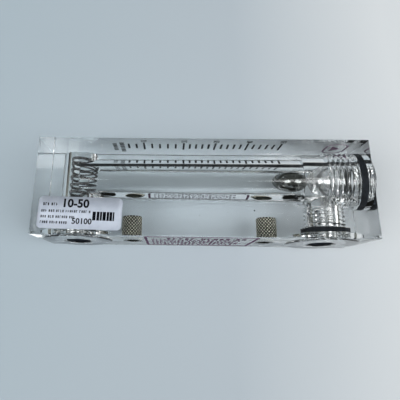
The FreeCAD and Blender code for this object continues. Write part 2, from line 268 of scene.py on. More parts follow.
def cut(piece, cutters):
    """Cut the cutters out of the piece one after another, and remove them."""
    for cutter in cutters:
        step = piece.modifiers.new("cut", "BOOLEAN")
        step.operation = "DIFFERENCE"
        step.solver = "EXACT"
        step.object = cutter
        bpy.context.view_layer.update()
        shaped = bpy.data.meshes.new_from_object(piece.evaluated_get(bpy.context.evaluated_depsgraph_get()))
        piece.modifiers.clear()
        old = piece.data
        piece.data = shaped
        bpy.data.meshes.remove(old)
    for cutter in cutters:
        bpy.data.objects.remove(cutter)
    piece.data.name = piece.name
    return piece


def bore_cutter(name, steps, place, ridge=None):
    """Closed round cutter about Z through (radius, height) steps, from its mouth down, capped."""
    profile = [(0, steps[0][1])] + steps + [(0, steps[-1][1])]
    return revolved(name, profile, ridge=ridge, place=place, closed=False)


def clear_block():
    """The block: a chamfered box less the tapered bore, chamber, plug hole, two ports and two insert holes.

    The plug's and the adapters' threads are cut in their holes too, a hair wider than on the pieces.
    """
    block = chamfered_box("clear_block", BLOCK_LOW, BLOCK_HIGH, EDGE_CHAMFER)
    past = 1 * MM
    seal = PLUG_RING_RADIUS + POCKET_GAP
    thread = PLUG_THREAD_RADIUS + THREAD_GAP
    rows = steps_between(-PLUG_SEAL_DEPTH, -PLUG_END_DEPTH, PLUG_THREAD_PITCH / THREAD_ROWS)
    steps = [(seal, past), (seal, -PLUG_SEAL_DEPTH)]
    steps += [(thread, z) for z in rows]
    steps += [
        (CHAMBER_RADIUS, -PLUG_END_DEPTH),
        (CHAMBER_RADIUS, SHOULDER_X - OUTLET_X),
        (BORE_OUTLET_RADIUS, SHOULDER_X - OUTLET_X),
        (BORE_INLET_RADIUS, BORE_START_X - OUTLET_X),
    ]
    ridge = thread_ridge(thread, PLUG_THREAD_PITCH, -PLUG_SEAL_DEPTH, -PLUG_END_DEPTH, PLUG_RUN_OUT)
    place = Matrix.Translation((OUTLET_X, AXIS_Y, AXIS_Z)) @ TO_OUTLET
    cutters = [bore_cutter("bore", steps, place, ridge)]
    well_depth = FRONT_Y - BACK_Y - WELL_TO_FRONT
    outlet_depth = AXIS_Y - BACK_Y - OUTLET_BORE_TO_AXIS
    ring = ADAPTER_RING_RADIUS + POCKET_GAP
    thread = ADAPTER_THREAD_RADIUS + THREAD_GAP
    thread_end = ADAPTER_END_DEPTH + THREAD_END_GAP
    rows = steps_between(-ADAPTER_SEAL_DEPTH, -thread_end, ADAPTER_THREAD_PITCH / THREAD_ROWS)
    ridge = thread_ridge(
        thread, ADAPTER_THREAD_PITCH, -ADAPTER_SEAL_DEPTH, -thread_end, ADAPTER_RUN_OUT)
    flow = {"inlet": (WELL_RADIUS, well_depth), "outlet": (OUTLET_BORE_RADIUS, outlet_depth)}
    for port, (flow_radius, flow_depth) in flow.items():
        place = Matrix.Translation((PORT_X[port], BACK_Y, AXIS_Z)) @ TO_BACK
        steps = [
            (FLANGE_RADIUS + SEAT_GAP, past),
            (FLANGE_RADIUS + SEAT_GAP, -FLANGE_SEAT),
            (ring, -FLANGE_SEAT),
            (ring, -ADAPTER_SEAL_DEPTH),
        ]
        steps += [(thread, z) for z in rows]
        steps += [(flow_radius, -thread_end), (flow_radius, -flow_depth)]
        cutters.append(bore_cutter(port, steps, place, ridge))
    for insert in ("lower_threaded_insert", "upper_threaded_insert"):
        low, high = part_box(insert)
        place = Matrix.Translation(((low.x + high.x) / 2, BACK_Y, AXIS_Z)) @ TO_BACK
        radius = INSERT_RADIUS - KNURL_DEPTH - PRESSED_IN
        steps = [(radius, past), (radius, PRESSED_IN - INSERT_LENGTH)]
        cutters.append(bore_cutter(insert + "_hole", steps, place))
    cut(block, cutters)
    sharpen(block)
    return block


def thread_ridge(crest, pitch, top, bottom, run_out, inward=False):
    """Radius of a helical V thread: the crest less a triangle wave of z / pitch + t / 2 pi.

    The wave is stretched a little past the thread's depth, which leaves narrow flats, and it fades over
    run_out at both ends. An inward thread, in the wall of a hole, grows outwards from the crest.
    """
    depth = THREAD_DEPTH_SHARE * pitch

    def ridge(radius, height, turn):
        phase = (height / pitch + turn / ROUND) % 1.0
        wave = np.abs(2 * phase - 1)
        fade = np.clip((top - height) / run_out, 0, 1) * np.clip((height - bottom) / run_out, 0, 1)
        root = crest - depth if not inward else crest
        cut_radius = root + depth * np.clip(1.15 * wave - 0.075, 0, 1) * fade
        threaded = (height < top) & (height > bottom) & (np.abs(radius - crest) < 0.02 * crest)
        return np.where(threaded, cut_radius, radius)

    return ridge


def steps_between(low, high, step):
    """Even heights from low to high, about one step apart."""
    return np.linspace(low, high, max(2, int(abs(high - low) / step) + 1))


def port_adapter(name, port):
    """Flanged bush: a profile round the port's axis, with a helical thread outside and in its hole."""
    top = FLANGE_PROUD
    neck = ADAPTER_RING_RADIUS - ADAPTER_RING_SECTION - POCKET_GAP
    crest = ADAPTER_THREAD_RADIUS
    thread_rows = steps_between(-ADAPTER_SEAL_DEPTH, -ADAPTER_END_DEPTH, ADAPTER_THREAD_PITCH / THREAD_ROWS)
    floor = ADAPTER_PORT_FLOOR - ADAPTER_END_DEPTH
    hole_rows = steps_between(floor, top - PORT_CHAMFER, PORT_THREAD_PITCH / PORT_THREAD_ROWS)
    profile = [
        (ADAPTER_PORT_RADIUS + PORT_CHAMFER, top),
        (FLANGE_RADIUS - HEAD_CHAMFER, top),
        (FLANGE_RADIUS, top - HEAD_CHAMFER),
        (FLANGE_RADIUS, FLANGE_EDGE - FLANGE_SEAT),
        (FLANGE_RADIUS - FLANGE_EDGE, -FLANGE_SEAT),
        (ADAPTER_RING_RADIUS, -FLANGE_SEAT),
        (ADAPTER_RING_RADIUS, -ADAPTER_BOSS_DEPTH),
        (neck, -ADAPTER_BOSS_DEPTH),
        (neck, -ADAPTER_SEAL_DEPTH),
    ]
    profile += [(crest, z) for z in thread_rows]
    profile += [(ADAPTER_BORE_RADIUS, -ADAPTER_END_DEPTH), (ADAPTER_BORE_RADIUS, hole_rows[0])]
    profile += [(ADAPTER_PORT_RADIUS, z) for z in hole_rows]
    outside = thread_ridge(
        crest, ADAPTER_THREAD_PITCH, -ADAPTER_SEAL_DEPTH, -ADAPTER_END_DEPTH, ADAPTER_RUN_OUT)
    inside = thread_ridge(
        ADAPTER_PORT_RADIUS, PORT_THREAD_PITCH, hole_rows[-1], hole_rows[0], PORT_THREAD_RUN_OUT,
        inward=True)

    def ridge(radius, height, turn):
        return inside(outside(radius, height, turn), height, turn)

    place = Matrix.Translation((PORT_X[port], BACK_Y, AXIS_Z)) @ TO_BACK
    piece = revolved(name, profile, ridge=ridge, place=place)
    sharpen(piece, 40)
    return piece


def port_shade_sleeve(name, port):
    """Painted shade: a thin dark sleeve in the first threads of a port, turned about its axis, where the
    hole only lies in shade.
    """
    outer = ADAPTER_PORT_RADIUS - SHADE_SLEEVE_GAP
    inner = outer - SHADE_SLEEVE_THICKNESS
    top = FLANGE_PROUD - PORT_CHAMFER
    bottom = top - SHADE_SLEEVE_LENGTH
    profile = [(inner, top), (outer, top), (outer, bottom), (inner, bottom)]
    place = Matrix.Translation((PORT_X[port], BACK_Y, AXIS_Z)) @ TO_BACK
    sleeve = revolved(name, profile, sides=96, place=place)
    sharpen(sleeve)
    return sleeve


def threaded_plug():
    """Slotted end plug: a profile round the bore's axis with a helical thread, a boss and a stop pin."""
    head = PLUG_HEAD_RADIUS
    neck = PLUG_RING_RADIUS - PLUG_RING_SECTION - POCKET_GAP
    rows = steps_between(-PLUG_SEAL_DEPTH, PLUG_END_GAP - PLUG_END_DEPTH, PLUG_THREAD_PITCH / THREAD_ROWS)
    pin_end = PLUG_LOW.x - OUTLET_X
    profile = [
        (0, PLUG_HEAD_PROUD),
        (head - HEAD_CHAMFER, PLUG_HEAD_PROUD),
        (head, PLUG_HEAD_PROUD - HEAD_CHAMFER),
        (head, PRESSED_IN),
        (PLUG_RING_RADIUS, PRESSED_IN),
        (PLUG_RING_RADIUS, -PLUG_BOSS_DEPTH),
        (neck, -PLUG_BOSS_DEPTH),
        (neck, -PLUG_SEAL_DEPTH),
    ]
    profile += [(PLUG_THREAD_RADIUS, z) for z in rows]
    profile += [(PLUG_PIN_RADIUS, rows[-1]), (PLUG_PIN_RADIUS, pin_end), (0, pin_end)]
    ridge = thread_ridge(
        PLUG_THREAD_RADIUS, PLUG_THREAD_PITCH, -PLUG_SEAL_DEPTH, -PLUG_END_DEPTH, PLUG_RUN_OUT)
    place = Matrix.Translation((OUTLET_X, AXIS_Y, AXIS_Z)) @ TO_OUTLET
    plug = revolved("slotted_end_plug", profile, ridge=ridge, place=place, closed=False)
    slot = chamfered_box(
        "slot",
        (-PLUG_SLOT_DEPTH, -2 * head, -PLUG_SLOT_WIDTH / 2),
        (2 * PLUG_SLOT_DEPTH, 2 * head, PLUG_SLOT_WIDTH / 2),
        PLUG_SLOT_CORNER)
    head_middle = Matrix.Translation((OUTLET_X + PLUG_HEAD_PROUD, AXIS_Y, AXIS_Z))
    slot.data.transform(head_middle @ Matrix.Rotation(PLUG_SLOT_TURN, 4, "X"))
    cut(plug, [slot])
    sharpen(plug, 40)
    return plug


def seal_ring(name, node, axis):
    """O-ring squeezed square in its pocket: (q cos t, q sin t, h) round the axis.

    h is r times the fourth root of sin s, and q is R plus 1.14 r times the fourth root of cos s,
    held between the pocket's wall and the neck.
    """
    low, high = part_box(node)
    middle = (low + high) / 2
    across = (high.z - low.z) / 2
    section = min(high - low) / 2
    sides, around = 144, 36
    t = np.linspace(0, ROUND, sides, endpoint=False)[:, None]
    s = np.linspace(0, ROUND, around, endpoint=False)[None, :]
    bulge = np.sign(np.cos(s)) * np.abs(np.cos(s)) ** 0.25
    height = section * np.sign(np.sin(s)) * np.abs(np.sin(s)) ** 0.25
    reach = np.minimum(across - section + 1.14 * section * bulge, across + POCKET_GAP + PRESSED_IN)
    reach = np.maximum(reach, across - 2 * section)
    points = np.stack([reach * np.cos(t), reach * np.sin(t), height + 0 * t], -1)
    ring = mesh_object(name, points, grid_faces(sides, around, wrap_rows=True))
    tidy_mesh(ring)
    sharpen(ring, 50)
    ring.data.transform(Matrix.Translation(middle) @ (TO_BACK if axis == "Y" else TO_OUTLET))
    return ring


def steel_ball():
    """Sphere: R (sin p cos t, sin p sin t, cos p), its poles closed."""
    radius = (BALL_HIGH.x - BALL_LOW.x) / 2
    middle = (BALL_LOW + BALL_HIGH) / 2
    polar = np.linspace(0, math.pi, 97)
    profile = np.stack([radius * np.sin(polar), radius * np.cos(polar)], -1)
    return revolved("steel_ball", profile, sides=192, place=Matrix.Translation(middle), closed=False)


def well_spring():
    """Compression spring: a wire carried along a helix about Y, its end turns a little closer together.

    Centre line (R cos t, y(t), R sin t), where y grows with the share of the way less 0.3 times the sine
    of one round of it, and R is a little less at the first turn.
    """
    length = SPRING_HIGH.y - SPRING_LOW.y - 2 * SPRING_WIRE_RADIUS
    middle_x = (SPRING_LOW.x + SPRING_HIGH.x) / 2
    share = np.linspace(0, 1, 840)
    turn = ROUND * SPRING_TURNS * share
    rise = share - 0.3 * np.sin(ROUND * share) / ROUND
    coil = SPRING_COIL_RADIUS * (1 - 0.04 * np.exp(-(share / 0.06) ** 2))
    centre = np.stack([
        middle_x + coil * np.cos(turn),
        SPRING_LOW.y + SPRING_WIRE_RADIUS + length * rise,
        AXIS_Z + coil * np.sin(turn)], -1)
    forward = np.gradient(centre, axis=0)
    forward /= np.linalg.norm(forward, axis=1)[:, None]
    out = np.stack([np.cos(turn), 0 * turn, np.sin(turn)], -1)
    out -= (out * forward).sum(1)[:, None] * forward
    out /= np.linalg.norm(out, axis=1)[:, None]
    side = np.cross(forward, out)
    around = np.linspace(0, ROUND, 16, endpoint=False)
    ring = out[:, None, :] * np.cos(around)[None, :, None]
    ring = ring + side[:, None, :] * np.sin(around)[None, :, None]
    points = centre[:, None, :] + SPRING_WIRE_RADIUS * ring
    rows, columns = points.shape[:2]
    faces = [tuple(f) for f in grid_faces(rows, columns)]
    faces.append(tuple(range(columns)))
    faces.append(tuple(range((rows - 1) * columns, rows * columns)))
    spring = mesh_object("well_spring", points, faces)
    tidy_mesh(spring)
    sharpen(spring, 60)
    return spring


def knurled_insert(name, node):
    """Threaded insert: a profile round its axis, with a threaded hole and a knurled outer wall.

    The wall is raised in diamonds, by the lower of two crossing helical triangle waves. The point
    attribute crest says how high each point of the knurl lies, from 0 to 1, and the brass finish
    paints shade and highlight from it.
    """
    low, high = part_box(node)
    rows = steps_between(-INSERT_CHAMFER, INSERT_CHAMFER - INSERT_LENGTH, 0.16 * MM)
    hole_rows = steps_between(-INSERT_HOLE_DEPTH, -INSERT_CHAMFER, 0.08 * MM)
    profile = [(INSERT_HOLE_RADIUS + INSERT_HOLE_LIP, 0), (INSERT_RADIUS - INSERT_CHAMFER, 0)]
    profile += [(INSERT_RADIUS, z) for z in rows]
    profile += [(INSERT_RADIUS - INSERT_CHAMFER, -INSERT_LENGTH), (0, -INSERT_LENGTH)]
    profile += [(0, -INSERT_HOLE_DEPTH)]
    profile += [(INSERT_HOLE_RADIUS, z) for z in hole_rows]

    def triangle(phase):
        return np.abs(2 * (phase % 1.0) - 1)

    thread = thread_ridge(
        INSERT_HOLE_RADIUS, INSERT_THREAD_PITCH, -INSERT_CHAMFER, -INSERT_HOLE_DEPTH, INSERT_THREAD_RUN_OUT,
        inward=True)

    def ridge(radius, height, turn):
        left = triangle(KNURL_STARTS * turn / ROUND + height / KNURL_PITCH)
        right = triangle(KNURL_STARTS * turn / ROUND - height / KNURL_PITCH)
        raised = np.clip(1.6 * np.minimum(left, right), 0, 1)
        outer = np.abs(radius - INSERT_RADIUS) < 0.02 * MM
        knurled = np.where(outer, radius - KNURL_DEPTH * (1 - raised), radius)
        return thread(knurled, height, turn)

    middle_x = (low.x + high.x) / 2
    place = Matrix.Translation((middle_x, BACK_Y, AXIS_Z)) @ TO_BACK
    piece = revolved(name, profile, sides=240, ridge=ridge, place=place)
    sharpen(piece, 30)
    points = np.empty(3 * len(piece.data.vertices))
    piece.data.vertices.foreach_get("co", points)
    points = points.reshape(-1, 3)
    reach = np.hypot(points[:, 0] - middle_x, points[:, 2] - AXIS_Z)
    crest = piece.data.attributes.new("crest", "FLOAT", "POINT")
    height = np.clip(1 - (INSERT_RADIUS - reach) / KNURL_DEPTH, 0, 1)
    plain = reach < INSERT_RADIUS - 1.05 * KNURL_DEPTH
    crest.data.foreach_set("value", np.where(plain, PLAIN_CREST, height))
    return piece


def sunk_copy(name, node, into):
    """A merged copy of a thin solid, moved a hair into the face that carries it: no air lies between."""
    piece = bpy.data.objects.new(name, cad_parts[node].data.copy())
    bpy.context.scene.collection.objects.link(piece)
    piece.data.transform(Matrix.Translation(into))
    tidy_mesh(piece, distance=1e-6)
    sharpen(piece, 40)
    return piece


# ---------------------------------------------------------------- print

def digits(name, words, size, place, ink, bold=0.0):
    """Plain numbers in the built-in typeface, as a thin mesh standing on the face that place gives."""
    curve = bpy.data.curves.new(name, "FONT")
    curve.body = words
    curve.size = size
    curve.extrude = INK_THICKNESS / 2
    curve.offset = bold
    curve.align_x = "CENTER"
    curve.align_y = "CENTER"
    curve.resolution_u = 3
    flat = bpy.data.objects.new(name, curve)
    bpy.context.scene.collection.objects.link(flat)
    bpy.context.view_layer.update()
    mesh = bpy.data.meshes.new_from_object(flat.evaluated_get(bpy.context.evaluated_depsgraph_get()))
    bpy.data.objects.remove(flat)
    piece = bpy.data.objects.new(name, mesh)
    bpy.context.scene.collection.objects.link(piece)
    mesh.transform(place @ Matrix.Translation((0, 0, INK_THICKNESS / 2)))
    mesh.materials.clear()
    mesh.materials.append(ink)
    return piece


def bars(name, boxes, place, ink, depth=INK_THICKNESS):
    """Flat bars of ink: one closed box for each (x, y, width, height), all from one array of corners."""
    boxes = np.asarray(boxes, float)
    unit = np.array([(x, y, z) for z in (0, 1) for y in (-0.5, 0.5) for x in (-0.5, 0.5)])
    size = np.column_stack([boxes[:, 2], boxes[:, 3], np.full(len(boxes), depth)])
    middle = np.column_stack([boxes[:, 0], boxes[:, 1], np.zeros(len(boxes))])
    points = middle[:, None, :] + unit[None] * size[:, None, :]
    quads = np.array([(0, 2, 3, 1), (4, 5, 7, 6), (0, 1, 5, 4), (1, 3, 7, 5), (3, 2, 6, 7), (2, 0, 4, 6)])
    faces = (quads[None] + 8 * np.arange(len(boxes))[:, None, None]).reshape(-1, 4)
    piece = mesh_object(name, points, faces, smooth=False)
    piece.data.transform(place)
    if ink:
        piece.data.materials.append(ink)
    return piece


def small_print(width, rows, row_height, letter, seed, left=0.0, top=0.0, fill=1.0):
    """Rows of bars that stand for lines of small print, two or three a letter: (x, y, width, height)."""
    draw = np.random.default_rng(seed)
    stem = 0.24 * letter
    out = []
    for row in range(rows):
        x = left
        end = left + width * (1 - (1 - fill) * draw.random())
        y = top - (row + 0.5) * row_height
        while x < end:
            for _ in range(int(draw.integers(3, 8))):
                if x >= end:
                    break
                wide = letter * draw.uniform(0.42, 0.6)
                out.append((x + stem / 2, y, stem, letter))
                if draw.random() < 0.6:
                    out.append((x + wide - stem / 2, y, stem, letter))
                level = draw.choice((-0.42, 0.0, 0.42))
                out.append((x + wide / 2, y + level * letter, wide, 0.22 * letter))
                x += letter * 0.82
            x += letter * 0.5
    return out


def legend_print():
    """Legend on the back face: a frame of four bars round a heading and rows of small print."""
    low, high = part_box("back_legend")
    middle = (low + high) / 2
    length = high.x - low.x
    height = high.z - low.z
    line = LEGEND_LINE
    boxes = [(0, side * (height - line) / 2, length, line) for side in (1, -1)]
    boxes += [(side * (length - line) / 2, 0, line, height - 2 * line) for side in (1, -1)]
    width = length - 2 * LEGEND_MARGIN
    boxes += small_print(
        width, 1, LEGEND_HEADING_ROW, LEGEND_HEADING_LETTER, seed=6,
        left=-0.3 * length, top=LEGEND_HEADING_TOP, fill=0.6)
    boxes += small_print(
        width - 1 * MM, LEGEND_ROWS, LEGEND_ROW, LEGEND_LETTER, seed=7,
        left=LEGEND_MARGIN - length / 2, top=LEGEND_ROWS_TOP, fill=0.9)
    place = Matrix.Translation((middle.x, BACK_Y + PRESSED_IN, middle.z)) @ TO_BACK
    return bars("printed_legend", boxes, place, None, depth=LEGEND_THICKNESS)


# ---------------------------------------------------------------- finishes

def new_material(name):
    """A material with its node tree and its Principled shader."""
    material = bpy.data.materials.new(name)
    material.use_nodes = True
    tree = material.node_tree
    shader = next(n for n in tree.nodes if n.type == "BSDF_PRINCIPLED")
    return material, tree, shader


def linear(red, green, blue):
    """sRGB 0 to 255 as linear RGBA."""
    channel = np.array([red, green, blue], float) / 255
    return tuple(np.where(channel <= 0.04045, channel / 12.92, ((channel + 0.055) / 1.055) ** 2.4)) + (1.0,)


def set_inputs(node, values):
    """Constants on a node's own sockets, by name."""
    for name, value in values.items():
        node.inputs[name].default_value = value


def grain_group():
    """Node group: noise on Object coordinates, as a value, and as a tone and a roughness that follow it.

    Between Tone From and Tone To the tone goes from Dark to Light, and between Rough From and Rough To
    the roughness goes from Smooth to Rough.
    """
    group = bpy.data.node_groups.new("grain", "ShaderNodeTree")
    sockets = {
        "Scale": ("NodeSocketFloat", 500.0),
        "Detail": ("NodeSocketFloat", 4.0),
        "Stretch": ("NodeSocketVector", (1, 1, 1)),
        "Dark": ("NodeSocketColor", (0, 0, 0, 1)),
        "Light": ("NodeSocketColor", (1, 1, 1, 1)),
        "Tone From": ("NodeSocketFloat", 0.0),
        "Tone To": ("NodeSocketFloat", 1.0),
        "Smooth": ("NodeSocketFloat", 0.2),
        "Rough": ("NodeSocketFloat", 0.5),
        "Rough From": ("NodeSocketFloat", 0.0),
        "Rough To": ("NodeSocketFloat", 1.0),
    }
    for name, (kind, default) in sockets.items():
        socket = group.interface.new_socket(name, in_out="INPUT", socket_type=kind)
        socket.default_value = default
    group.interface.new_socket("Value", in_out="OUTPUT", socket_type="NodeSocketFloat")
    group.interface.new_socket("Tone", in_out="OUTPUT", socket_type="NodeSocketColor")
    group.interface.new_socket("Roughness", in_out="OUTPUT", socket_type="NodeSocketFloat")
    given = group.nodes.new("NodeGroupInput").outputs
    result = group.nodes.new("NodeGroupOutput").inputs
    where = group.nodes.new("ShaderNodeTexCoord")
    turn = group.nodes.new("ShaderNodeMapping")
    noise = group.nodes.new("ShaderNodeTexNoise")
    group.links.new(where.outputs["Object"], turn.inputs["Vector"])
    group.links.new(given["Stretch"], turn.inputs["Scale"])
    group.links.new(turn.outputs["Vector"], noise.inputs["Vector"])
    group.links.new(given["Scale"], noise.inputs["Scale"])
    group.links.new(given["Detail"], noise.inputs["Detail"])
    share = group.nodes.new("ShaderNodeMapRange")
    group.links.new(noise.outputs["Fac"], share.inputs["Value"])
    group.links.new(given["Tone From"], share.inputs["From Min"])
    group.links.new(given["Tone To"], share.inputs["From Max"])
    tone = group.nodes.new("ShaderNodeMix")
    tone.data_type = "RGBA"
    group.links.new(share.outputs["Result"], tone.inputs["Factor"])
    group.links.new(given["Dark"], tone.inputs["A"])
    group.links.new(given["Light"], tone.inputs["B"])
    rough = group.nodes.new("ShaderNodeMapRange")
    group.links.new(noise.outputs["Fac"], rough.inputs["Value"])
    group.links.new(given["Rough From"], rough.inputs["From Min"])
    group.links.new(given["Rough To"], rough.inputs["From Max"])
    group.links.new(given["Smooth"], rough.inputs["To Min"])
    group.links.new(given["Rough"], rough.inputs["To Max"])
    group.links.new(noise.outputs["Fac"], result["Value"])
    group.links.new(tone.outputs["Result"], result["Tone"])
    group.links.new(rough.outputs["Result"], result["Roughness"])
    return group


GRAIN = grain_group()


def add_grain(tree, shader=None, **values):
    """The grain group with its own values; tone and roughness go to the shader where one is given."""
    node = tree.nodes.new("ShaderNodeGroup")
    node.node_tree = GRAIN
    set_inputs(node, {name.replace("_", " ").title(): value for name, value in values.items()})
    if shader and "dark" in values:
        tree.links.new(node.outputs["Tone"], shader.inputs["Base Color"])
    if shader:
        tree.links.new(node.outputs["Roughness"], shader.inputs["Roughness"])
    return node


def ramp(tree, source, stops):
    """Colour ramp over a value; stops are (place, colour)."""
    node = tree.nodes.new("ShaderNodeValToRGB")
    while len(node.color_ramp.elements) < len(stops):
        node.color_ramp.elements.new(0.5)
    for element, (place, colour) in zip(node.color_ramp.elements, stops):
        element.position = place
        element.color = colour
    tree.links.new(source, node.inputs["Fac"])
    return node


def map_range(tree, source, low, high, from_low=0.0, from_high=1.0):
    """A value between from_low and from_high, brought to between low and high."""
    node = tree.nodes.new("ShaderNodeMapRange")
    set_inputs(node, {"From Min": from_low, "From Max": from_high, "To Min": low, "To Max": high})
    tree.links.new(source, node.inputs["Value"])
    return node


def bump(tree, shader, height, strength, distance):
    """Bump from a value to the shader's Normal."""
    node = tree.nodes.new("ShaderNodeBump")
    set_inputs(node, {"Strength": strength, "Distance": distance})
    tree.links.new(height, node.inputs["Height"])
    tree.links.new(node.outputs["Normal"], shader.inputs["Normal"])


def multiply_add(tree, source, factor, addend):
    """source times factor plus addend."""
    node = tree.nodes.new("ShaderNodeMath")
    node.operation = "MULTIPLY_ADD"
    node.inputs[1].default_value = factor
    tree.links.new(source, node.inputs[0])
    tree.links.new(addend, node.inputs[2])
    return node.outputs["Value"]


def clear_acrylic(name, colour, scratch=0.004, past=0.61):
    """Polished acrylic: clear, with hair scratches and faint smears in its roughness and surface.

    Each surface also lets a share of straight light past, on top of the light that it bends.
    """
    material, tree, shader = new_material(name)
    set_inputs(shader, {"Base Color": colour, "Transmission Weight": 1.0, "IOR": 1.49})
    smooth = max(0.0, 0.8 * scratch - 0.1)
    add_grain(tree, shader, scale=55, detail=3, smooth=smooth, rough=scratch, rough_from=0.5, rough_to=0.8)
    hair = add_grain(tree, scale=900, detail=2, stretch=(0.08, 1, 1))
    bump(tree, shader, hair.outputs["Value"], 0.02, 0.00001)
    path = tree.nodes.new("ShaderNodeLightPath")
    through = tree.nodes.new("ShaderNodeBsdfTransparent")
    through.inputs["Color"].default_value = (past, past, past, 1)
    either = tree.nodes.new("ShaderNodeMixShader")
    out = next(n for n in tree.nodes if n.type == "OUTPUT_MATERIAL")
    tree.links.new(path.outputs["Is Shadow Ray"], either.inputs["Fac"])
    tree.links.new(shader.outputs["BSDF"], either.inputs[1])
    tree.links.new(through.outputs["BSDF"], either.inputs[2])
    tree.links.new(either.outputs["Shader"], out.inputs["Surface"])
    return material


def polished_steel():
    """Ball steel: mirror finish with faint haze, its colour darkened far below bright steel as painted
    shade for the dark room that it reflects.
    """
    material, tree, shader = new_material("polished_steel")
    shader.inputs["Metallic"].default_value = 1.0
    # painted shade: a dark steel colour stands in for the dark reflections on the ball
    add_grain(
        tree, shader, scale=260, detail=5,
        dark=linear(112, 115, 114), light=linear(128, 130, 129), tone_from=0.35, tone_to=0.7,
        smooth=0.03, rough=0.09, rough_from=0.35, rough_to=0.7)
    return material


def drawn_wire():
    """Spring wire: drawn steel with fine marks along it, its colour darkened as painted shade so that its
    turns show dark.
    """
    material, tree, shader = new_material("drawn_wire")
    shader.inputs["Metallic"].default_value = 1.0
    # painted shade: a dark steel colour stands in for the dark reflections on the turns
    add_grain(
        tree, shader, scale=2400, detail=3,
        dark=linear(58, 60, 62), light=linear(118, 120, 123), tone_from=0.3, tone_to=0.7,
        smooth=0.16, rough=0.34)
    return material


def knurled_brass_painted_light():
    """Pale plated brass, with a painted highlight on the knurl's crests and painted shade in its valleys.
    """
    material, tree, shader = new_material("knurled_brass_painted_light")
    shader.inputs["Metallic"].default_value = 1.0
    tarnish = add_grain(tree, shader, scale=1100, detail=6, smooth=0.2, rough=0.4)
    crest = tree.nodes.new("ShaderNodeAttribute")
    crest.attribute_name = "crest"
    # tarnish noise plus the knurl's height, which the ramp below turns into painted shade in the valleys
    # and a painted highlight on the crests
    wear_and_painted_shade = multiply_add(tree, tarnish.outputs["Value"], 0.7, crest.outputs["Fac"])
    # painted shade: near black low on the knurl; painted highlight: pale on its crests
    stops = [(0.5, linear(8, 9, 7)), (0.85, linear(58, 59, 51)), (1.0, linear(205, 204, 190))]
    tone = ramp(tree, wear_and_painted_shade, stops)
    tree.links.new(tone.outputs["Color"], shader.inputs["Base Color"])
    return material


def seal_rubber():
    """Black nitrile rubber with a faint bloom."""
    material, tree, shader = new_material("seal_rubber_finish")
    shader.inputs["Specular IOR Level"].default_value = 0.03
    bloom = add_grain(
        tree, shader, scale=900, detail=4,
        dark=linear(18, 21, 26), light=linear(38, 43, 50), tone_from=0.3, tone_to=0.8,
        smooth=0.32, rough=0.55)
    bump(tree, shader, bloom.outputs["Value"], 0.1, 0.00002)
    return material


def label_film():
    """Satin white film with a faint blue tone, dust and slight waviness."""
    material, tree, shader = new_material("label_film_finish")
    add_grain(
        tree, shader, scale=420, detail=6,
        dark=linear(184, 193, 209), light=linear(200, 208, 222), tone_from=0.25, tone_to=0.6,
        smooth=0.34, rough=0.5)
    wave = add_grain(tree, scale=90, detail=1)
    bump(tree, shader, wave.outputs["Value"], 0.04, 0.0001)
    return material


def printed_ink(name, dark, wear_and_painted_shade):
    """Screen-printed ink with an uneven tone and no gloss of its own under the acrylic."""
    material, tree, shader = new_material(name)
    shader.inputs["Specular IOR Level"].default_value = 0.0
    add_grain(
        tree, shader, scale=1500, detail=5,
        dark=dark, light=wear_and_painted_shade, tone_from=0.35, tone_to=0.8,
        smooth=0.4, rough=0.65)
    return material


def table_top():
    """Floor: pale blue-grey, with a painted fall-off of light from darker on the inlet side to lighter past
    the outlet end.
    """
    material, tree, shader = new_material("table_top")
    set_inputs(shader, {"Roughness": 0.75, "Specular IOR Level": 0.3})
    where = tree.nodes.new("ShaderNodeTexCoord")
    split = tree.nodes.new("ShaderNodeSeparateXYZ")
    tree.links.new(where.outputs["Object"], split.inputs["Vector"])
    # painted light fall-off: the floor's tone grows along X, darker on the inlet side
    across = map_range(tree, split.outputs["X"], 0.0, 1.0, -0.09, 0.11)
    cloud = add_grain(tree, scale=9, detail=2)
    blend = multiply_add(tree, cloud.outputs["Value"], 0.12, across.outputs["Result"])
    stops = [(0.05, linear(172, 186, 195)), (0.6, linear(180, 190, 198)), (0.95, linear(217, 221, 224))]
    tone = ramp(tree, blend, stops)
    tree.links.new(tone.outputs["Color"], shader.inputs["Base Color"])
    return material


# ---------------------------------------------------------------- assembly

ACRYLIC = clear_acrylic("clear_acrylic", (0.985, 0.995, 0.99, 1))
FITTING_ACRYLIC = clear_acrylic("fitting_acrylic", (0.985, 0.99, 0.995, 1), scratch=0.02, past=0.4)
TURNED_ACRYLIC = clear_acrylic("turned_acrylic", (0.9, 0.905, 0.91, 1), scratch=0.4, past=0.4)
BALL_STEEL = polished_steel()
WIRE_STEEL = drawn_wire()
INSERT_BRASS = knurled_brass_painted_light()
RUBBER = seal_rubber()
FILM = label_film()
BLACK_INK = printed_ink("black_print", linear(12, 13, 16), linear(34, 36, 42))
MAUVE_INK = printed_ink("mauve_print", linear(92, 70, 92), linear(138, 116, 136))


def add_piece(piece, node, material, body="meter_block"):
    """Give a piece its finish and body, and hide the solid that it stands for."""
    piece.data.materials.clear()
    piece.data.materials.append(material)
    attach(piece, body)
    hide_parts(node)
    return piece


def add_print(piece):
    """Print, and the painted-shade sleeves in the ports, ride with the block and stand for no solid."""
    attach(piece, "meter_block")


add_piece(clear_block(), "body_block", ACRYLIC)
for port in ("inlet", "outlet"):
    bush = port_adapter(port + "_port_bush", port)
    add_piece(bush, port + "_adapter", FITTING_ACRYLIC)
PLUG = add_piece(threaded_plug(), "end_plug", FITTING_ACRYLIC)
PLUG.data.materials.append(TURNED_ACRYLIC)
for face in PLUG.data.polygons:
    if face.center.x < CHAMBER_END_X + 1.1 * PLUG_END_GAP:
        face.material_index = 1
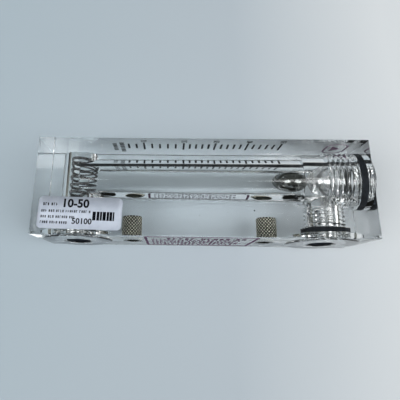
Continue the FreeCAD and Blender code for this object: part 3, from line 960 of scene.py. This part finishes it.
# painted shade: a dark rubber-finish sleeve in each port's first threads, where the hole only lies in shade
for port in ("inlet", "outlet"):
    sleeve = port_shade_sleeve(port + "_shade_sleeve", port)
    sleeve.data.materials.append(RUBBER)
    add_print(sleeve)
SEALS = {
    "inlet_seal": ("inlet_adapter_o_ring", "Y"),
    "outlet_seal": ("outlet_adapter_o_ring", "Y"),
    "plug_seal": ("end_plug_o_ring", "X"),
}
for name, (node, axis) in SEALS.items():
    add_piece(seal_ring(name, node, axis), node, RUBBER)
add_piece(steel_ball(), "ball_float", BALL_STEEL, body="float")
add_piece(well_spring(), "inlet_spring", WIRE_STEEL)
for place in ("lower", "upper"):
    node = place + "_threaded_insert"
    add_piece(knurled_insert(place + "_knurled_insert", node), node, INSERT_BRASS)

DOWN = (0, 0, -PRESSED_IN)
INWARDS = (0, -PRESSED_IN, 0)
add_piece(sunk_copy("printed_label", "side_label", DOWN), "side_label", FILM)
add_piece(sunk_copy("printed_scale", "scale_marks", INWARDS), "scale_marks", BLACK_INK)
add_piece(sunk_copy("printed_flow_mark", "flow_mark", INWARDS), "flow_mark", MAUVE_INK)
add_piece(legend_print(), "back_legend", MAUVE_INK)

# label print: plain numbers, rows of small bars and a block of bars, just within the label's box
LABEL_LOW, LABEL_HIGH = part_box("side_label")
LABEL_MIDDLE = (LABEL_LOW + LABEL_HIGH) / 2
LABEL_PRINT_Z = LABEL_HIGH.z - INK_THICKNESS - 0.0005 * MM
LABEL_TOP = Matrix.Translation((LABEL_MIDDLE.x, LABEL_MIDDLE.y, LABEL_PRINT_Z))
LABEL_PLACE = LABEL_TOP @ Matrix.Rotation(LABEL_TURN, 4, "Z")


def on_label(x, y):
    """Place on the label, in mm from its middle."""
    return LABEL_PLACE @ Matrix.Translation((x * MM, y * MM, 0))


add_print(digits("label_range", "10-50", 4.0 * MM, on_label(-1.7, 3.1), BLACK_INK, bold=0.13 * MM))
add_print(digits("label_count", "50100", 2.7 * MM, on_label(0.9, -2.9), BLACK_INK, bold=0.07 * MM))
LABEL_LINES = [
    # width, letter height, seed, left end, top
    (4.6, 0.95, 2, -12.6, 3.4),
    (16.2, 0.85, 3, -13.0, 1.1),
    (11.2, 0.85, 5, -13.0, -0.9),
    (9.2, 0.85, 8, -13.0, -2.8),
]
LABEL_ROWS = []
for width, letter, seed, left, top in LABEL_LINES:
    LABEL_ROWS += small_print(width * MM, 1, 1.3 * MM, letter * MM, seed, left=left * MM, top=top * MM)
add_print(bars("label_rows", LABEL_ROWS, on_label(0, 0), BLACK_INK))
BLOCK_BARS = [(4.9, 1.1), (6.2, 0.9), (7.2, 0.7), (8.3, 1.1), (9.5, 0.8), (10.5, 0.9), (11.4, 0.5)]
BLOCK_BARS = [(x * MM, -0.9 * MM, width * MM, 3.0 * MM) for x, width in BLOCK_BARS]
add_print(bars("label_bars", BLOCK_BARS, on_label(0, 0), BLACK_INK))

# scale numbers on the front face: their lines run up the block, and their tops point to the outlet
ON_FRONT = Matrix(((0, 1, 0, 0), (0, 0, 1, 0), (1, 0, 0, 0), (0, 0, 0, 1)))


def on_front(x, z):
    """Place on the front face, a hair inside it."""
    return Matrix.Translation((x, FRONT_Y - PRESSED_IN, z)) @ ON_FRONT


for number, to_shoulder in enumerate(MAJOR_TICKS_TO_SHOULDER, 1):
    place = on_front(SHOULDER_X - to_shoulder, SCALE_NUMBER_HEIGHT)
    words = str(10 * number)
    add_print(digits("scale_" + words, words, 3.0 * MM, place, BLACK_INK, bold=0.03 * MM))
UNIT_ROWS = [(z * MM, 1.5 * MM, 1.3 * MM, 1.7 * MM) for z in (-6.5, -4.3, -2.1, 0.1, 2.3, 4.5)]
UNIT_ROWS += [(z * MM, -1.2 * MM, 1.1 * MM, 1.6 * MM) for z in (-4.7, -2.7, -0.7, 1.3, 3.3)]
UNIT_PLACE = on_front(INLET_X + UNIT_FROM_INLET, UNIT_HEIGHT)
add_print(bars("unit_print", UNIT_ROWS, UNIT_PLACE, BLACK_INK, depth=UNIT_THICKNESS))


def specks(name, places, height):
    """Flat bits of swarf: a hexagon (r cos t, 0.7 r sin t) per (x, y, size), its corners' reach random."""
    draw = np.random.default_rng(11)
    places = np.asarray(places, float) * MM
    turn = np.linspace(0, ROUND, 6, endpoint=False)
    reach = places[:, 2:] * draw.uniform(0.5, 1.1, (len(places), 6))
    flat = np.stack([places[:, :1] + reach * np.cos(turn), places[:, 1:2] + 0.7 * reach * np.sin(turn)], -1)
    heights = (height, height + SPECK_THICKNESS)
    points = np.stack([np.concatenate([flat, np.full(flat.shape[:2] + (1,), z)], -1) for z in heights], 1)
    faces = []
    for bit in range(len(places)):
        low = 12 * bit + np.arange(6)
        faces.append(tuple(low[::-1]))
        faces.append(tuple(low + 6))
        around = np.roll(low, -1)
        faces += [tuple(f) for f in np.stack([low, around, around + 6, low + 6], -1)]
    piece = mesh_object(name, points, faces, smooth=False)
    piece.data.materials.append(BLACK_INK)
    return piece


SPECKS = [
    # x, y, size
    (16.9, -8.6, 0.42),
    (-1.2, -10.4, 0.16),
    (-34.6, 8.3, 0.14),
    (-47.5, -0.6, 0.13),
    (8.1, -9.3, 0.14),
    (-12.4, 14.6, 0.15),
]
add_print(specks("top_specks", SPECKS, BLOCK_HIGH.z - SPECK_SUNK))


# ---------------------------------------------------------------- studio

FLOOR_Z = -0.1 * MM


def patch(tree, heading, toward, half_width, half_height, edge=0.04):
    """Mask of a rectangle of sky around a direction: 1 inside, fading to 0 over the edge.

    The heading is divided by its share along the patch's middle, which lays it on a flat screen there.
    """
    ahead = Vector(toward).normalized()
    side = ahead.cross(Vector((0, 0, 1)))
    side = side.normalized() if side.length > 1e-3 else Vector((1, 0, 0))
    rise = side.cross(ahead)

    def share(axis):
        node = tree.nodes.new("ShaderNodeVectorMath")
        node.operation = "DOT_PRODUCT"
        node.inputs[1].default_value = axis
        tree.links.new(heading, node.inputs[0])
        return node.outputs["Value"]

    def math_node(operation, first, second=None):
        node = tree.nodes.new("ShaderNodeMath")
        node.operation = operation
        for socket, source in zip(node.inputs, (first, second)):
            if isinstance(source, (int, float)):
                socket.default_value = source
            elif source is not None:
                tree.links.new(source, socket)
        return node.outputs["Value"]

    forward = math_node("MAXIMUM", share(ahead), 1e-3)
    masks = []
    for axis, half in ((side, half_width), (rise, half_height)):
        reach = math_node("ABSOLUTE", math_node("DIVIDE", share(axis), forward))
        masks.append(map_range(tree, reach, 1.0, 0.0, half - edge / 2, half + edge / 2).outputs["Result"])
    return math_node("MULTIPLY", masks[0], masks[1])


def studio():
    """Floor, and a sky of soft grey with ceiling panels and one dark wall past the front face."""
    corners = [(3 * x, 3 * y, FLOOR_Z) for x, y in ((-1, -1), (1, -1), (1, 1), (-1, 1))]
    floor = mesh_object("floor", corners, [(0, 1, 2, 3)], smooth=False)
    floor.data.materials.append(table_top())

    world = bpy.data.worlds.new("studio")
    bpy.context.scene.world = world
    world.use_nodes = True
    tree = world.node_tree
    back = next(n for n in tree.nodes if n.type == "BACKGROUND")
    heading = tree.nodes.new("ShaderNodeTexCoord").outputs["Generated"]
    layers = [
        # direction, half width and half height at a distance of 1, tone
        ((0, 1, 0.36), 3.0, 0.34, (0.01, 0.011, 0.013, 1)),
        ((0, -1, 0.3), 1.2, 0.3, (0.04, 0.042, 0.04, 1)),
        ((-0.6, -0.24, 0.78), 0.29, 0.4, (4.3, 4.35, 4.4, 1)),
        ((0.64, -0.24, 0.76), 0.29, 0.44, (4.3, 4.35, 4.4, 1)),
    ]
    colour = (0.17, 0.18, 0.165, 1)
    # each layer lies over the ones before it
    for toward, half_width, half_height, tone in layers:
        mix = tree.nodes.new("ShaderNodeMix")
        mix.data_type = "RGBA"
        mask = patch(tree, heading, toward, half_width, half_height)
        tree.links.new(mask, mix.inputs["Factor"])
        if isinstance(colour, tuple):
            mix.inputs["A"].default_value = colour
        else:
            tree.links.new(colour, mix.inputs["A"])
        mix.inputs["B"].default_value = tone
        colour = mix.outputs["Result"]
    path = tree.nodes.new("ShaderNodeLightPath")
    seen = tree.nodes.new("ShaderNodeMix")
    seen.data_type = "RGBA"
    tree.links.new(path.outputs["Is Camera Ray"], seen.inputs["Factor"])
    tree.links.new(colour, seen.inputs["A"])
    seen.inputs["B"].default_value = linear(217, 221, 224)
    tree.links.new(seen.outputs["Result"], back.inputs["Color"])


def camera():
    """Camera close above the block, tilted a little towards the front face.

    Its turn is given by the directions of its right, its down and its view, and its place in metres.
    """
    data = bpy.data.cameras.new("camera")
    data.sensor_width = 36
    data.lens = 29.6
    data.shift_x = 0.089
    data.shift_y = 0.0208
    data.clip_start = 0.005
    eye = bpy.data.objects.new("camera", data)
    right = Vector((0.99975, 0.01716, -0.01434))
    down = Vector((0.0133, -0.9717, -0.23586))
    ahead = Vector((-0.01798, 0.23561, -0.97168))
    turn = Matrix((right, -down, -ahead)).transposed().to_4x4()
    eye.matrix_world = Matrix.Translation((-0.01102, -0.0341, 0.13213)) @ turn
    bpy.context.scene.collection.objects.link(eye)
    bpy.context.scene.camera = eye


studio()
camera()

scene = bpy.context.scene
scene.view_settings.view_transform = "Standard"
scene.cycles.max_bounces = 32
scene.cycles.transmission_bounces = 32
scene.cycles.glossy_bounces = 12
scene.cycles.transparent_max_bounces = 64
scene.cycles.diffuse_bounces = 3
